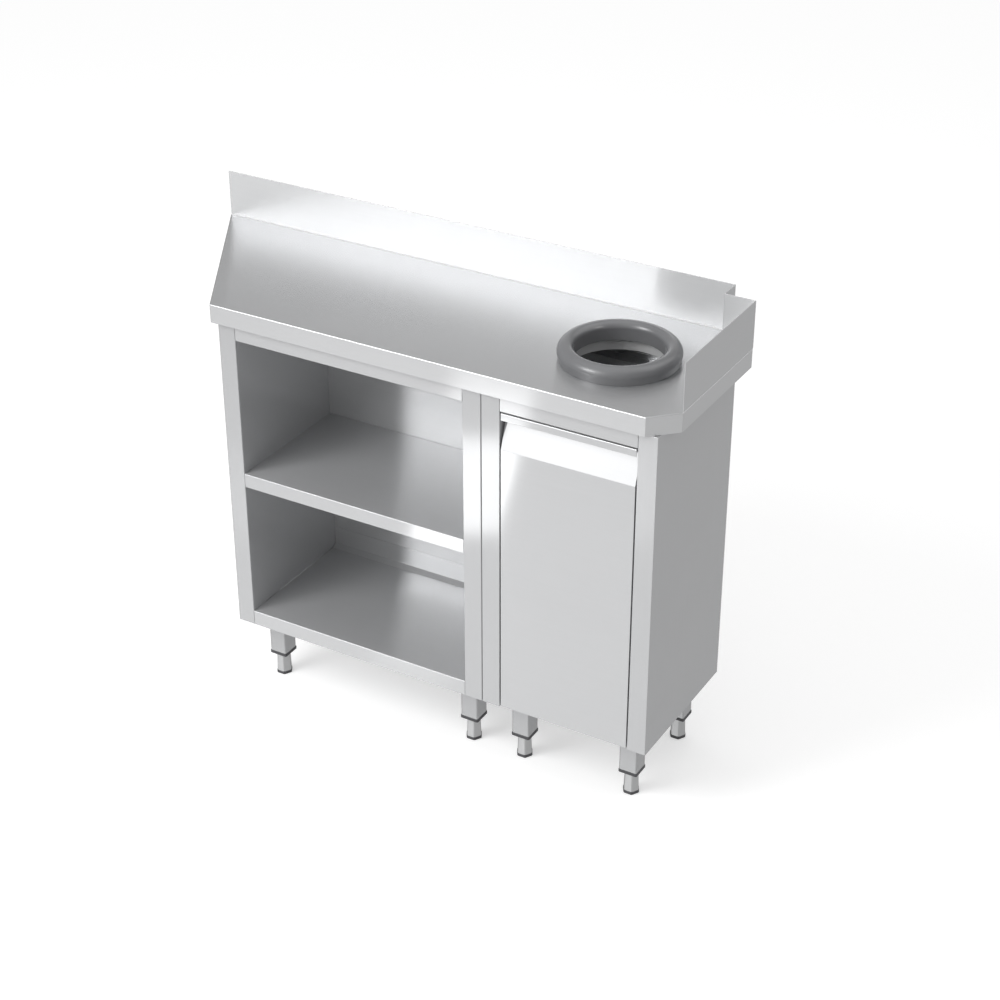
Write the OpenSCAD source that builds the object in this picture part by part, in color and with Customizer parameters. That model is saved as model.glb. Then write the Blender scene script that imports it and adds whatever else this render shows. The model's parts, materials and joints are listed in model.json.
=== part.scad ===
// Stainless steel kitchen work table with a mitred left end, a waste chute with a rubber ring,
// an open shelf module and a module with a pull-out waste drawer.
// Millimetres. X runs along the front, Y goes to the back, Z is up, and the feet stand on z = 0.

/* [Worktop] */
// Depth over the back upstand
worktop_d = 405; // [400:5:500]
// Height of the working surface above the floor
worktop_h = 905; // [850:5:950]
// How far the rear left corner lies beyond the front left corner
mitre_run = 244; // [200:2:280]
// Height of the folded edge
fold_h = 40; // [35:1:50]
// Cut-off at the front right corner, along each side
corner_cut = 50; // [30:1:70]
// Width of the notch at the rear right corner
notch_w = 64; // [40:1:80]
// Depth of the notch at the rear right corner
notch_d = 48; // [30:1:54]
// Sheet of the worktop and the upstands
top_sheet = 1.5; // [1.2:0.1:2]
// Height of the upstands above the working surface
upstand_h = 100; // [60:5:150]
// Width of the crown of a stiffener
stiffener_crown = 24; // [20:1:30]
// Width of each foot flange of a stiffener
stiffener_flange = 8; // [6:1:10]

/* [Chute] */
// Chute centre, to the right of the waste module's middle
chute_shift = 12.5; // [-20:0.5:20]
// Chute centre, from the front edge
chute_y = 191; // [185:1:195]
// Inner radius of the steel collar
chute_r = 100.5; // [90:0.5:102]
// How far the collar hangs below the working surface
collar_drop = 30; // [20:1:32]
// How far the collar stands up inside the rubber ring
collar_rise = 12; // [8:1:14]
// Width of the collar's seat flange on the worktop
collar_flange = 8; // [5:0.5:9]
// Radius of the rubber ring's section, outside
ring_r = 18.5; // [16:0.5:19]
// How far the ring's seat reaches outwards from the middle of its section
ring_seat = 16; // [14:0.5:16.5]
// Radius of the ring's shoulder above its straight inner wall
ring_inner_r = 13.5; // [12:0.5:15.5]
// Height of the section's centre above the worktop
ring_z = 15; // [13:0.5:17]
// How far the ring's straight inner wall hangs below the working surface
ring_skirt = 4; // [4:0.5:8]

/* [Carcass] */
// Overhang of the worktop in front of the carcass
front_overhang = 10; // [5:1:20]
// Overhang at the front left corner
left_overhang = 10; // [5:1:20]
// Overhang at the right side
right_overhang = 28; // [15:1:40]
// Width of the open shelf module
shelf_module_w = 610; // [500:5:700]
// Width of the waste module
waste_module_w = 371; // [370:1:380]
// Seam between the two modules
module_gap = 1; // [0.5:0.1:3]
// Depth of both modules
carcass_d = 336; // [330:1:340]
// Thickness of a double-skinned side wall
wall_t = 40; // [36:1:40]
// Sheet of the walls, shelves, rails and drawer
skin = 1.2; // [1:0.1:1.5]
// Height of the top rails
rail_h = 33; // [25:1:40]
// Depth of the top rails
rail_d = 30; // [25:1:32]
// Depth of the back panel's folded edge
back_d = 20; // [15:1:22]
// Flange by which an inner skin is welded inside its wall
weld_flange = 12; // [8:1:20]

/* [Shelves] */
// Height of the middle shelf's surface above the floor
shelf_z = 527; // [450:1:600]
// Height of the middle shelf's folded edge
shelf_lip = 31; // [25:1:40]
// Height of the bottom shelf's folded edge
bottom_lip = 34; // [30:1:40]
// Depth of the sloped strip at the back of the bottom shelf
cove_run = 12; // [8:1:16]
// Rise of the sloped strip
cove_rise = 8; // [5:1:12]
// Top of the bottom shelf's upturned rear flange above its surface
upturn_h = 50; // [30:1:70]

/* [Waste drawer] */
// Gap between the drawer front and the posts
front_side_gap = 3; // [2:0.5:4]
// Gap between the drawer front and the top rail
front_top_gap = 3; // [2:0.2:5]
// Height of the drawer front's lower edge above the bottom of the carcass
front_bottom_gap = 2; // [1:0.5:4]
// Thickness of the drawer front
front_t = 20; // [18:1:22]
// Height of the slanted grip recess
grip_h = 78; // [60:1:90]
// Depth of the grip recess at its top
grip_d = 25; // [23:1:28]
// Height of the grip's front lip
grip_lip = 15; // [10:1:20]
// Length of the runners, and the drawer's travel
runner_l = 275; // [250:1:276]
// Height of a runner
runner_h = 45; // [40:1:48]
// Thickness of a runner over its three members
runner_t = 12.7; // [12:0.1:13]
// Sheet of the runner members
runner_sheet = 1.2; // [1:0.1:1.4]
// Play between neighbouring runner members
runner_play = 0.35; // [0.3:0.05:0.5]
// Height of the drawer tray's sides
tray_h = 70; // [60:1:90]
// Clearance between the drawer front and the edge of the module's floor
floor_clear = 2; // [1:0.5:3]
// Distance of the runners behind the drawer front
runner_setback = 2; // [1:0.5:4]
// Clearance of the tray above the module's floor
tray_clear = 6; // [4:0.5:10]
// Height of the braces behind the drawer front, above the tray's bottom
brace_h = 370; // [250:5:450]
// Reach of the braces along the tray
brace_d = 120; // [90:1:150]
// Thickness of a brace
brace_t = 2; // [1.5:0.1:3]
// Width of the brace's flange on the drawer front
brace_flange = 11; // [9:0.5:11]

/* [Waste bin] */
// Height of the bin
bin_h = 550; // [480:5:560]
// Distance from the bin's rim to the tray's sides
bin_side_gap = 15.8; // [14:0.2:20]
// Depth of the bin over its rim
bin_d = 240; // [230:1:244]
// How much narrower the bin is at its base, on each side
bin_taper = 12; // [8:1:16]
// Wall of the bin
bin_wall = 2.5; // [2:0.1:3]
// Height of the bin's rim
bin_rim_h = 14; // [10:1:18]
// Overhang of the bin's rim
bin_rim = 6; // [5:0.5:8]
// Radius of the bin's corners
bin_corner = 28; // [20:1:32]
// Distance from the back of the drawer front to the bin's rim
bin_setback = 26; // [24:1:28]

/* [Legs] */
// Height of the carcass above the floor
carcass_z = 155; // [145:1:165]
// Width of a square leg tube
leg_w = 40; // [36:1:42]
// Wall of a leg tube
leg_wall = 1.5; // [1.2:0.1:2]
// Distance from a module's side to its legs
leg_side_inset = 41; // [41:1:46]
// Distance from the carcass front to the front legs
leg_front_inset = 50; // [45:1:60]
// Distance from the rear legs to the carcass back
leg_rear_inset = 28; // [26:1:34]
// How far a leg's top plate reaches past the tube, to the front and the back
plate_edge = 6; // [3:0.5:6.5]
// Thickness of a leg's top plate
plate_t = 3; // [2:0.5:4]
// Thickness of the plastic insert's visible flange
insert_flange = 7; // [5:0.5:9]
// How far that flange stands proud of the tube
insert_proud = 1; // [0:0.5:2]
// Depth of the insert inside the tube
insert_depth = 28; // [22:1:36]
// Height of a foot below the insert
foot_h = 53; // [47:1:59]
// Width of the hexagon over its flats, at the top
hex_top = 27; // [24:0.5:28]
// Width of the hexagon over its flats, at the base
hex_base = 30; // [28:0.5:32]
// Height of the plastic pad under a foot
pad_h = 7; // [5:0.5:9]
// How far the pad stands proud of the hexagon's flats
pad_proud = 1; // [0:0.5:2]
// Radius of a foot's threaded stud
stud_r = 5; // [4:0.5:6]
// Length of the stud above the hexagon
stud_l = 42; // [34:1:50]
// Radial play of the stud in its insert
stud_play = 0.06; // [0.02:0.01:0.1]
// Air between the hexagon's shoulder and the insert
foot_air = 0.2; // [0.1:0.05:0.3]

/* [Fasteners] */
// Radius of the bolts that join the two modules
bolt_r = 4; // [3:0.5:5]
// Radius of the bolts' heads and nuts
bolt_head_r = 8; // [7:0.5:9]
// Height of the bolts' heads and nuts
bolt_head_h = 5.5; // [4:0.5:7]
// Distance of the bolts from the front and back of the carcass
bolt_edge = 50; // [40:1:60]
// Distance of the upper bolts below the top of the carcass
upper_bolt_depth = 90; // [70:1:120]
// Distance of the lower bolts above the bottom of the carcass
lower_bolt_height = 180; // [160:1:200]
// Radial play of bolts, screws and rivets in their holes
hole_play = 0.2; // [0.1:0.05:0.4]
// Radius of the screws that hold the stiffeners
screw_r = 2.5; // [2:0.5:3]
// Radius of the heads of those screws
screw_head_r = 4.5; // [4:0.5:5]
// Height of the heads of those screws
screw_head_h = 3; // [2:0.5:4]
// Distance of those screws from the walls
screw_inset = 60; // [40:5:100]
// Radius of the rivets that hold the drawer's braces
rivet_r = 2.4; // [2:0.1:3]
// Radius of a rivet's head
rivet_head_r = 4.5; // [4:0.1:5]
// Height of a rivet's head
rivet_head_h = 1.4; // [1:0.1:2]
// Distance of the rivets from the ends of a brace's foot
rivet_end = 30; // [20:1:40]
// Distance of the rivets from the tray's bottom and from its upper edge
rivet_edge = 22; // [15:1:25]

/* [Hidden] */

$fa = 4;
$fs = 1;

// Small cut-through past a face, so that holes open cleanly
past = 1;

// Thin slice at the bottom and the top of the bin's tapered block
slice = 0.01;

// Heights
carcass_top = worktop_h - fold_h;
rail_z = carcass_top - rail_h;
bottom_z = carcass_z + bottom_lip;

// Carcass planes along Y
front_y = front_overhang;
rear_y = front_y + carcass_d;
back_y = rear_y - back_d;
upturn_y = back_y - skin;

// Module sides along X
shelf_x0 = left_overhang;
shelf_x1 = shelf_x0 + shelf_module_w;
waste_x0 = shelf_x1 + module_gap;
waste_x1 = waste_x0 + waste_module_w;
shelf_in0 = shelf_x0 + wall_t;
shelf_in1 = shelf_x1 - wall_t;
waste_in0 = waste_x0 + wall_t;
waste_in1 = waste_x1 - wall_t;

// Worktop over both modules
worktop_w = waste_x1 + right_overhang;
chute_x = (waste_in0 + waste_in1) / 2 + chute_shift;

// The object's own frame has its origin under the middle of the worktop's box
centre_x = (worktop_w - mitre_run) / 2;
centre_y = worktop_d / 2;

// Drawer planes
front_x0 = waste_in0 + front_side_gap;
front_x1 = waste_in1 - front_side_gap;
front_z0 = carcass_z + front_bottom_gap;
front_z1 = rail_z - front_top_gap;
front_h = front_z1 - front_z0;
liner_y = front_y + front_t;
tray_x0 = waste_in0 + runner_t;
tray_x1 = waste_in1 - runner_t;
tray_y0 = liner_y + skin;
runner_y0 = tray_y0 + runner_setback;
tray_y1 = runner_y0 + runner_l;
tray_z = bottom_z + tray_clear;
runner_z = tray_z + (tray_h - runner_h) / 2;
floor_y0 = tray_y0 + floor_clear;
grip_angle = atan(grip_d / grip_h);

// Bin
bin_x0 = tray_x0 + bin_side_gap;
bin_w = tray_x1 - bin_side_gap - bin_x0;
bin_y0 = tray_y0 + bin_setback;
bin_z0 = tray_z + skin;

// Stiffeners
stiffener_w = stiffener_crown + 2 * stiffener_flange;
screw_row = skin + hole_play + screw_head_r;
front_stiffener_y = front_y + screw_row - stiffener_flange / 2;
rear_stiffener_y = rear_y - screw_row + stiffener_flange / 2 - stiffener_w;

// Places of the bolts through the walls that meet, as [y, z]
bolt_rows = [carcass_z + lower_bolt_height, carcass_top - upper_bolt_depth];
bolt_places = [for (y = [front_y + bolt_edge, rear_y - bolt_edge], z = bolt_rows) [y, z]];

// Places of the screws through the rails into the stiffeners' foot flanges, as [x, y]
screw_columns = [
    shelf_in0 + screw_inset,
    shelf_in1 - screw_inset,
    waste_in0 + screw_inset,
    waste_in1 - screw_inset
];
screw_rows = [front_y + screw_row, rear_y - screw_row];
screw_places = [for (x = screw_columns, y = screw_rows) [x, y]];

// Places of the rivets on a brace, as [y, z]
rivet_columns = [tray_y0 + rivet_end, tray_y0 + brace_d - rivet_end];
rivet_rows = [tray_z + rivet_edge, tray_z + tray_h - rivet_edge];
rivet_places = [for (y = rivet_columns, z = rivet_rows) [y, z]];

// Leg corners as [x, y], front pair then rear pair of each module
leg_front_y = front_y + leg_front_inset;
leg_rear_y = rear_y - leg_rear_inset - leg_w;
leg_rows = [leg_front_y, leg_rear_y];
function leg_columns(x0, x1) = [x0 + leg_side_inset, x1 - leg_side_inset - leg_w];
shelf_legs = [for (y = leg_rows, x = leg_columns(shelf_x0, shelf_x1)) [x, y]];
waste_legs = [for (y = leg_rows, x = leg_columns(waste_x0, waste_x1)) [x, y]];
all_legs = concat(shelf_legs, waste_legs);

// Colours
steel = [0.80, 0.81, 0.82];
steel_light = [0.88, 0.89, 0.90];
steel_dark = [0.62, 0.63, 0.65];
rubber_grey = [0.24, 0.25, 0.27];
plastic_dark = [0.20, 0.20, 0.22];
bin_grey = [0.42, 0.44, 0.46];

// Worktop outline, from the front left corner round the right side to the rear left corner
worktop_points = [
    [0, 0],
    [worktop_w - corner_cut, 0],
    [worktop_w, corner_cut],
    [worktop_w, worktop_d - notch_d],
    [worktop_w - notch_w, worktop_d - notch_d],
    [worktop_w - notch_w, worktop_d],
    [-mitre_run, worktop_d]
];

// Width that a sheet of the worktop takes along X where it stands on the mitred edge
mitre_len = sqrt(mitre_run * mitre_run + worktop_d * worktop_d);
mitre_sheet_x = top_sheet * mitre_len / worktop_d;
cut_sheet = top_sheet * (sqrt(2) - 1);

// The same outline, moved in by one sheet on every side
worktop_inner = [
    [mitre_sheet_x - mitre_run / worktop_d * top_sheet, top_sheet],
    [worktop_w - corner_cut - cut_sheet, top_sheet],
    [worktop_w - top_sheet, corner_cut + cut_sheet],
    [worktop_w - top_sheet, worktop_d - notch_d - top_sheet],
    [worktop_w - notch_w - top_sheet, worktop_d - notch_d - top_sheet],
    [worktop_w - notch_w - top_sheet, worktop_d - top_sheet],
    [mitre_sheet_x - mitre_run / worktop_d * (worktop_d - top_sheet), worktop_d - top_sheet]
];

// Puts a piece into the object's own frame
module placed() {
    translate([-centre_x, -centre_y, 0])
        children();
}

// Box between two corners
module span(low, high) {
    translate(low)
        cube(high - low);
}

// Extrudes a section drawn in Y and Z along X
module along_x(x0, x1) {
    translate([x0, 0, 0])
        rotate([90, 0, 90])
            linear_extrude(x1 - x0)
                children();
}

// Folded sheet box that is open on one side, "left", "right" or "back",
// or a shelf, "shelf", that is open underneath and at both ends
module folded_box(low, high, sheet, open) {
    cut_low = [
        open == "left" || open == "shelf" ? -past : sheet,
        sheet,
        open == "shelf" ? -past : sheet
    ];
    cut_high = [
        open == "right" || open == "shelf" ? past : -sheet,
        open == "back" ? past : -sheet,
        -sheet
    ];
    difference() {
        span(low, high);
        span(low + cut_low, high + cut_high);
    }
}

// Holes for the bolts that join the modules
module bolt_holes() {
    for (place = bolt_places)
        translate([shelf_in1 - past, place[0], place[1]])
            rotate([0, 90, 0])
                cylinder(r = bolt_r + hole_play, h = waste_in0 - shelf_in1 + 2 * past);
}

// Holes for the screws that hold the stiffeners
module screw_holes() {
    for (place = screw_places)
        translate([place[0], place[1], carcass_top - skin - past])
            cylinder(r = screw_r + hole_play, h = skin + top_sheet + 2 * past);
}

module worktop() {
    color(steel_light) placed() {
        difference() {
            translate([0, 0, worktop_h - fold_h])
                linear_extrude(fold_h)
                    polygon(worktop_points);
            translate([0, 0, worktop_h - fold_h - past])
                linear_extrude(fold_h - top_sheet + past)
                    polygon(worktop_inner);
            translate([chute_x, chute_y, worktop_h - fold_h])
                cylinder(r = chute_r + top_sheet, h = fold_h + past);
        }
    }
}

module back_upstand() {
    color(steel_light) placed()
        span([-mitre_run + mitre_sheet_x, worktop_d - top_sheet, worktop_h],
            [worktop_w - notch_w, worktop_d, worktop_h + upstand_h]);
}

// Return beside the notch and the sheet across its front
module notch_upstand() {
    notch_x = worktop_w - notch_w;
    notch_y = worktop_d - notch_d;
    color(steel) placed() {
        span([notch_x - top_sheet, notch_y - top_sheet, worktop_h],
            [notch_x, worktop_d - top_sheet, worktop_h + upstand_h]);
        span([notch_x - top_sheet, notch_y - top_sheet, worktop_h],
            [worktop_w - top_sheet, notch_y, worktop_h + upstand_h]);
    }
}

module side_upstand() {
    color(steel) placed()
        span([worktop_w - top_sheet, corner_cut + cut_sheet, worktop_h],
            [worktop_w, worktop_d - notch_d, worktop_h + upstand_h]);
}

// Hat section, open underneath, that runs along X between the carcass and the worktop
module stiffener(x0, x1, y0) {
    crown_y = y0 + stiffener_flange;
    crown_end = crown_y + stiffener_crown;
    top_z = worktop_h - top_sheet;
    color(steel_dark) placed()
        difference() {
            union() {
                span([x0, y0, carcass_top], [x1, y0 + stiffener_w, carcass_top + top_sheet]);
                span([x0, crown_y, carcass_top], [x1, crown_end, top_z]);
            }
            span([x0 - past, crown_y + top_sheet, carcass_top - past],
                [x1 + past, crown_end - top_sheet, top_z - top_sheet]);
            screw_holes();
        }
}

module front_stiffener() {
    stiffener(shelf_x0, worktop_w - corner_cut, front_stiffener_y);
}

// The rear one also reaches under the mitred wing
module rear_stiffener() {
    stiffener(mitre_sheet_x - mitre_run * rear_stiffener_y / worktop_d + past, waste_x1, rear_stiffener_y);
}

// Steel collar in the hole, with a seat flange on the worktop
module chute_collar() {
    color(steel_light) placed()
        translate([chute_x, chute_y, worktop_h])
            rotate_extrude()
                polygon([
                    [chute_r, -collar_drop],
                    [chute_r + top_sheet, -collar_drop],
                    [chute_r + top_sheet, 0],
                    [chute_r + top_sheet + collar_flange, 0],
                    [chute_r + top_sheet + collar_flange, skin],
                    [chute_r + top_sheet, skin],
                    [chute_r + top_sheet, collar_rise],
                    [chute_r, collar_rise]
                ]);
}

// Rubber ring, seated on the worktop and the collar's flange and slotted for the collar, with a
// straight wall inside the collar
module chute_ring() {
    middle = chute_r + top_sheet / 2;
    shoulder_z = ring_z + ring_r - ring_inner_r;
    color(rubber_grey) placed()
        translate([chute_x, chute_y, worktop_h])
            rotate_extrude()
                difference() {
                    union() {
                        intersection() {
                            translate([middle, ring_z])
                                circle(ring_r);
                            translate([middle, ring_z])
                                square([ring_r * 2, ring_r * 2]);
                        }
                        polygon([[middle, 0], [middle + ring_seat, 0],
                            [middle + ring_r, ring_z], [middle, ring_z]]);
                        translate([middle, shoulder_z])
                            circle(ring_inner_r);
                        translate([middle - ring_inner_r, -ring_skirt])
                            square([ring_inner_r - top_sheet / 2, shoulder_z + ring_skirt]);
                        translate([middle - ring_inner_r, skin])
                            square([ring_inner_r, shoulder_z - skin]);
                    }
                    translate([chute_r, -ring_r])
                        square([ring_r * 2, ring_r]);
                    translate([chute_r, 0])
                        square([top_sheet + collar_flange + skin / 2, skin]);
                    translate([chute_r, 0])
                        square([top_sheet, collar_rise]);
                }
}

// Outer sheet of a side wall, folded round the front and the back, open towards the module
module wall_sheet(x0, open) {
    color(steel) placed()
        difference() {
            folded_box([x0, front_y, carcass_z], [x0 + wall_t, rear_y, carcass_top], skin, open);
            bolt_holes();
        }
}

// Inner sheet of a side wall, with welding flanges turned into the wall
module wall_lining(face_x, inward) {
    x_face = inward > 0 ? face_x - skin : face_x;
    x_flange = inward > 0 ? face_x - weld_flange : face_x;
    low = [x_face, front_y + skin, carcass_z + skin];
    high = [x_face + skin, rear_y - skin, carcass_top - skin];
    color(steel_dark) placed()
        difference() {
            union() {
                span(low, high);
                span([x_flange, low[1], low[2]], [x_flange + weld_flange, low[1] + skin, high[2]]);
                span([x_flange, high[1] - skin, low[2]], [x_flange + weld_flange, high[1], high[2]]);
            }
            bolt_holes();
        }
}

module back_panel(x0, x1) {
    color(steel) placed()
        folded_box([x0, back_y, carcass_z], [x1, rear_y, rail_z], skin, "back");
}

// Top rail: a channel between the walls, with its web at the front or at the back
module top_rail(x0, x1, y0, web_y) {
    color(steel_light) placed()
        difference() {
            union() {
                span([x0, web_y, rail_z], [x1, web_y + skin, carcass_top]);
                span([x0, y0, rail_z], [x1, y0 + rail_d, rail_z + skin]);
                span([x0, y0, carcass_top - skin], [x1, y0 + rail_d, carcass_top]);
            }
            screw_holes();
        }
}

module middle_shelf() {
    color(steel_light) placed()
        folded_box([shelf_in0, front_y, shelf_z - shelf_lip], [shelf_in1, back_y, shelf_z], skin, "shelf");
}

// Shelf tray with the sloped strip and the upturned flange along its back
module floor_tray(x0, x1, y0) {
    color(steel_light) placed() {
        folded_box([x0, y0, carcass_z], [x1, back_y, bottom_z], skin, "shelf");
        along_x(x0, x1)
            polygon([
                [upturn_y - cove_run, bottom_z - skin],
                [upturn_y - cove_run, bottom_z],
                [upturn_y, bottom_z + cove_rise],
                [upturn_y, bottom_z + upturn_h],
                [back_y, bottom_z + upturn_h],
                [back_y, bottom_z - skin]
            ]);
    }
}

// Drawer front, folded from one sheet: panel, slanted grip recess, top and front lip
module drawer_front() {
    panel_h = front_h - grip_h;
    bend = skin * tan(grip_angle / 2);
    side_h = panel_h + front_t * grip_h / grip_d;
    color(steel_light) placed()
        translate([0, front_y, front_z0]) {
            along_x(front_x0, front_x1)
                polygon([
                    [0, 0],
                    [0, panel_h],
                    [grip_d * (grip_h - skin) / grip_h, front_h - skin],
                    [skin, front_h - skin],
                    [skin, front_h - grip_lip],
                    [0, front_h - grip_lip],
                    [0, front_h],
                    [grip_d + skin / cos(grip_angle), front_h],
                    [skin, panel_h - bend],
                    [skin, 0]
                ]);
            for (x = [front_x0, front_x1 - skin])
                along_x(x, x + skin)
                    polygon([[0, 0], [0, panel_h], [front_t, side_h], [front_t, 0]]);
            span([front_x0, 0, 0], [front_x1, front_t, skin]);
        }
}

// Flat sheet that closes the back of the drawer front
module drawer_front_lining() {
    lining_h = front_h - grip_h + front_t * grip_h / grip_d - grip_lip;
    color(steel) placed()
        span([front_x0, liner_y, front_z0], [front_x1, liner_y + skin, front_z0 + lining_h]);
}

// Tray between the runners, open at the top, that the bin stands in
module drawer_tray() {
    color(steel) placed()
        difference() {
            span([tray_x0, tray_y0, tray_z], [tray_x1, tray_y1, tray_z + tray_h]);
            span([tray_x0 + skin, tray_y0 + skin, tray_z + skin],
                [tray_x1 - skin, tray_y1 - skin, tray_z + tray_h + past]);
        }
}

// Brace inside the tray's side, with a flange on the drawer front's lining
module drawer_brace(x0, flange_x) {
    low_z = bin_z0;
    color(steel_dark) placed()
        difference() {
            union() {
                along_x(x0, x0 + brace_t)
                    polygon([
                        [tray_y0 + skin, low_z],
                        [tray_y0 + brace_d, low_z],
                        [tray_y0 + brace_d, tray_z + tray_h],
                        [tray_y0 + bin_setback, low_z + brace_h],
                        [tray_y0, low_z + brace_h],
                        [tray_y0, tray_z + tray_h],
                        [tray_y0 + skin, tray_z + tray_h]
                    ]);
                span([flange_x, tray_y0, tray_z + tray_h],
                    [flange_x + brace_flange, tray_y0 + brace_t, low_z + brace_h]);
            }
            for (place = rivet_places)
                translate([x0 - past, place[0], place[1]])
                    rotate([0, 90, 0])
                        cylinder(r = rivet_r + hole_play, h = brace_t + 2 * past);
        }
}

// Runner member: a channel with its web at one side and its flanges towards the other
module runner_member(web_x, x0, x1, inset) {
    z0 = runner_z + inset;
    z1 = runner_z + runner_h - inset;
    color(steel_dark) placed() {
        span([web_x, runner_y0, z0], [web_x + runner_sheet, runner_y0 + runner_l, z1]);
        span([x0, runner_y0, z0], [x1, runner_y0 + runner_l, z0 + runner_sheet]);
        span([x0, runner_y0, z1 - runner_sheet], [x1, runner_y0 + runner_l, z1]);
    }
}

// How far each member lies inside the one round it
nest = runner_sheet + runner_play;

module left_runner(member) {
    if (member == "rail")
        runner_member(waste_in0, waste_in0, tray_x0 - nest, 0);
    if (member == "middle")
        runner_member(waste_in0 + nest, waste_in0 + nest, tray_x0 - nest, nest);
    if (member == "slide")
        runner_member(tray_x0 - runner_sheet, waste_in0 + 2 * nest, tray_x0, 2 * nest);
}

module right_runner(member) {
    if (member == "rail")
        runner_member(waste_in1 - runner_sheet, tray_x1 + nest, waste_in1, 0);
    if (member == "middle")
        runner_member(waste_in1 - nest - runner_sheet, tray_x1 + nest, waste_in1 - nest, nest);
    if (member == "slide")
        runner_member(tray_x1, tray_x1, waste_in1 - 2 * nest, 2 * nest);
}

// Rectangle with round corners
module round_rect(w, d, r) {
    translate([r, 0])
        square([w - 2 * r, d]);
    translate([0, r])
        square([w, d - 2 * r]);
    for (x = [r, w - r], y = [r, d - r])
        translate([x, y])
            circle(r, $fn = 32);
}

// Tapered block with round corners, wide at the top
module bin_block(inset, base_z, top_z) {
    base = inset + bin_rim + bin_taper;
    top = inset + bin_rim;
    hull() {
        translate([base, base, base_z])
            linear_extrude(slice)
                round_rect(bin_w - 2 * base, bin_d - 2 * base, bin_corner - inset);
        translate([top, top, top_z - slice])
            linear_extrude(slice)
                round_rect(bin_w - 2 * top, bin_d - 2 * top, bin_corner - inset);
    }
}

module waste_bin() {
    color(bin_grey) placed()
        translate([bin_x0, bin_y0, bin_z0])
            difference() {
                union() {
                    bin_block(0, 0, bin_h);
                    translate([0, 0, bin_h - bin_rim_h])
                        linear_extrude(bin_rim_h)
                            round_rect(bin_w, bin_d, bin_corner + bin_rim);
                }
                bin_block(bin_wall, bin_wall, bin_h + past);
            }
}

// Upright block over a leg's square, grown by the given amount on its four sides
module leg_block(corner, grow, z0, z1) {
    span([corner[0] - grow, corner[1] - grow, z0],
        [corner[0] + leg_w + grow, corner[1] + leg_w + grow, z1]);
}

// Square tube with its top plate under the shelf
module leg(corner) {
    plate_z = bottom_z - skin - plate_t;
    tube_z = foot_h + insert_flange;
    plate_side = min(plate_edge, leg_side_inset - wall_t);
    difference() {
        leg_block(corner, 0, tube_z, plate_z);
        leg_block(corner, -leg_wall, tube_z - past, plate_z + past);
    }
    span([corner[0] - plate_side, corner[1] - plate_edge, plate_z],
        [corner[0] + leg_w + plate_side, corner[1] + leg_w + plate_edge, plate_z + plate_t]);
}

module legs(corners) {
    color(steel) placed()
        for (corner = corners)
            leg(corner);
}

// Plastic plugs in the lower ends of the tubes, bored for the studs
module leg_inserts() {
    color(plastic_dark) placed()
        for (corner = all_legs)
            difference() {
                union() {
                    leg_block(corner, insert_proud, foot_h, foot_h + insert_flange);
                    leg_block(corner, -leg_wall, foot_h, foot_h + insert_flange + insert_depth);
                }
                translate([corner[0] + leg_w / 2, corner[1] + leg_w / 2, foot_h - past])
                    cylinder(r = stud_r + stud_play, h = insert_flange + insert_depth + 2 * past);
            }
}

// Radius over the corners of a hexagon with the given width over its flats
function hex_r(flats) = flats / 2 / cos(30);

// Hexagonal foot with its stud
module foot(corner) {
    hex_h = foot_h - foot_air - pad_h;
    color(steel_light) placed()
        translate([corner[0] + leg_w / 2, corner[1] + leg_w / 2, 0]) {
            translate([0, 0, pad_h])
                cylinder(r1 = hex_r(hex_base), r2 = hex_r(hex_top), h = hex_h, $fn = 6);
            translate([0, 0, foot_h - foot_air - past])
                cylinder(r = stud_r, h = stud_l + past);
        }
}

module foot_pad(corner) {
    color(plastic_dark) placed()
        translate([corner[0] + leg_w / 2, corner[1] + leg_w / 2, 0])
            cylinder(r = hex_r(hex_base + 2 * pad_proud), h = pad_h, $fn = 6);
}

// Through bolts between the linings of the two walls that meet, with a domed head and nut
module module_bolts() {
    color(steel) placed()
        for (place = bolt_places)
            translate([shelf_in1, place[0], place[1]])
                rotate([0, 90, 0]) {
                    cylinder(r = bolt_r, h = waste_in0 - shelf_in1);
                    translate([0, 0, -bolt_head_h])
                        cylinder(r = bolt_head_r, h = bolt_head_h);
                    translate([0, 0, waste_in0 - shelf_in1])
                        cylinder(r = bolt_head_r, h = bolt_head_h);
                }
}

module stiffener_screws() {
    color(steel_light) placed()
        for (place = screw_places)
            translate([place[0], place[1], carcass_top - skin]) {
                cylinder(r = screw_r, h = skin + top_sheet);
                translate([0, 0, -screw_head_h])
                    cylinder(r = screw_head_r, h = screw_head_h);
            }
}

module brace_rivets() {
    color(steel_light) placed()
        for (x = [tray_x0 + skin, tray_x1 - skin - brace_t], place = rivet_places)
            translate([x, place[0], place[1]])
                rotate([0, 90, 0]) {
                    cylinder(r = rivet_r, h = brace_t);
                    translate([0, 0, x < bin_x0 ? brace_t : -rivet_head_h])
                        cylinder(r = rivet_head_r, h = rivet_head_h);
                }
}

worktop();
back_upstand();
notch_upstand();
side_upstand();
front_stiffener();
rear_stiffener();
chute_collar();
chute_ring();
wall_sheet(shelf_x0, "right");  // shelf_left_wall
wall_lining(shelf_in0, 1);  // shelf_left_wall_lining
wall_sheet(shelf_in1, "left");  // shelf_right_wall
wall_lining(shelf_in1, -1);  // shelf_right_wall_lining
back_panel(shelf_in0, shelf_in1);  // shelf_back_panel
top_rail(shelf_in0, shelf_in1, front_y, front_y);  // shelf_front_rail
top_rail(shelf_in0, shelf_in1, rear_y - rail_d, rear_y - skin);  // shelf_rear_rail
middle_shelf();
floor_tray(shelf_in0, shelf_in1, front_y);  // bottom_shelf
wall_sheet(waste_x0, "right");  // waste_left_wall
wall_lining(waste_in0, 1);  // waste_left_wall_lining
wall_sheet(waste_in1, "left");  // waste_right_wall
wall_lining(waste_in1, -1);  // waste_right_wall_lining
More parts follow.
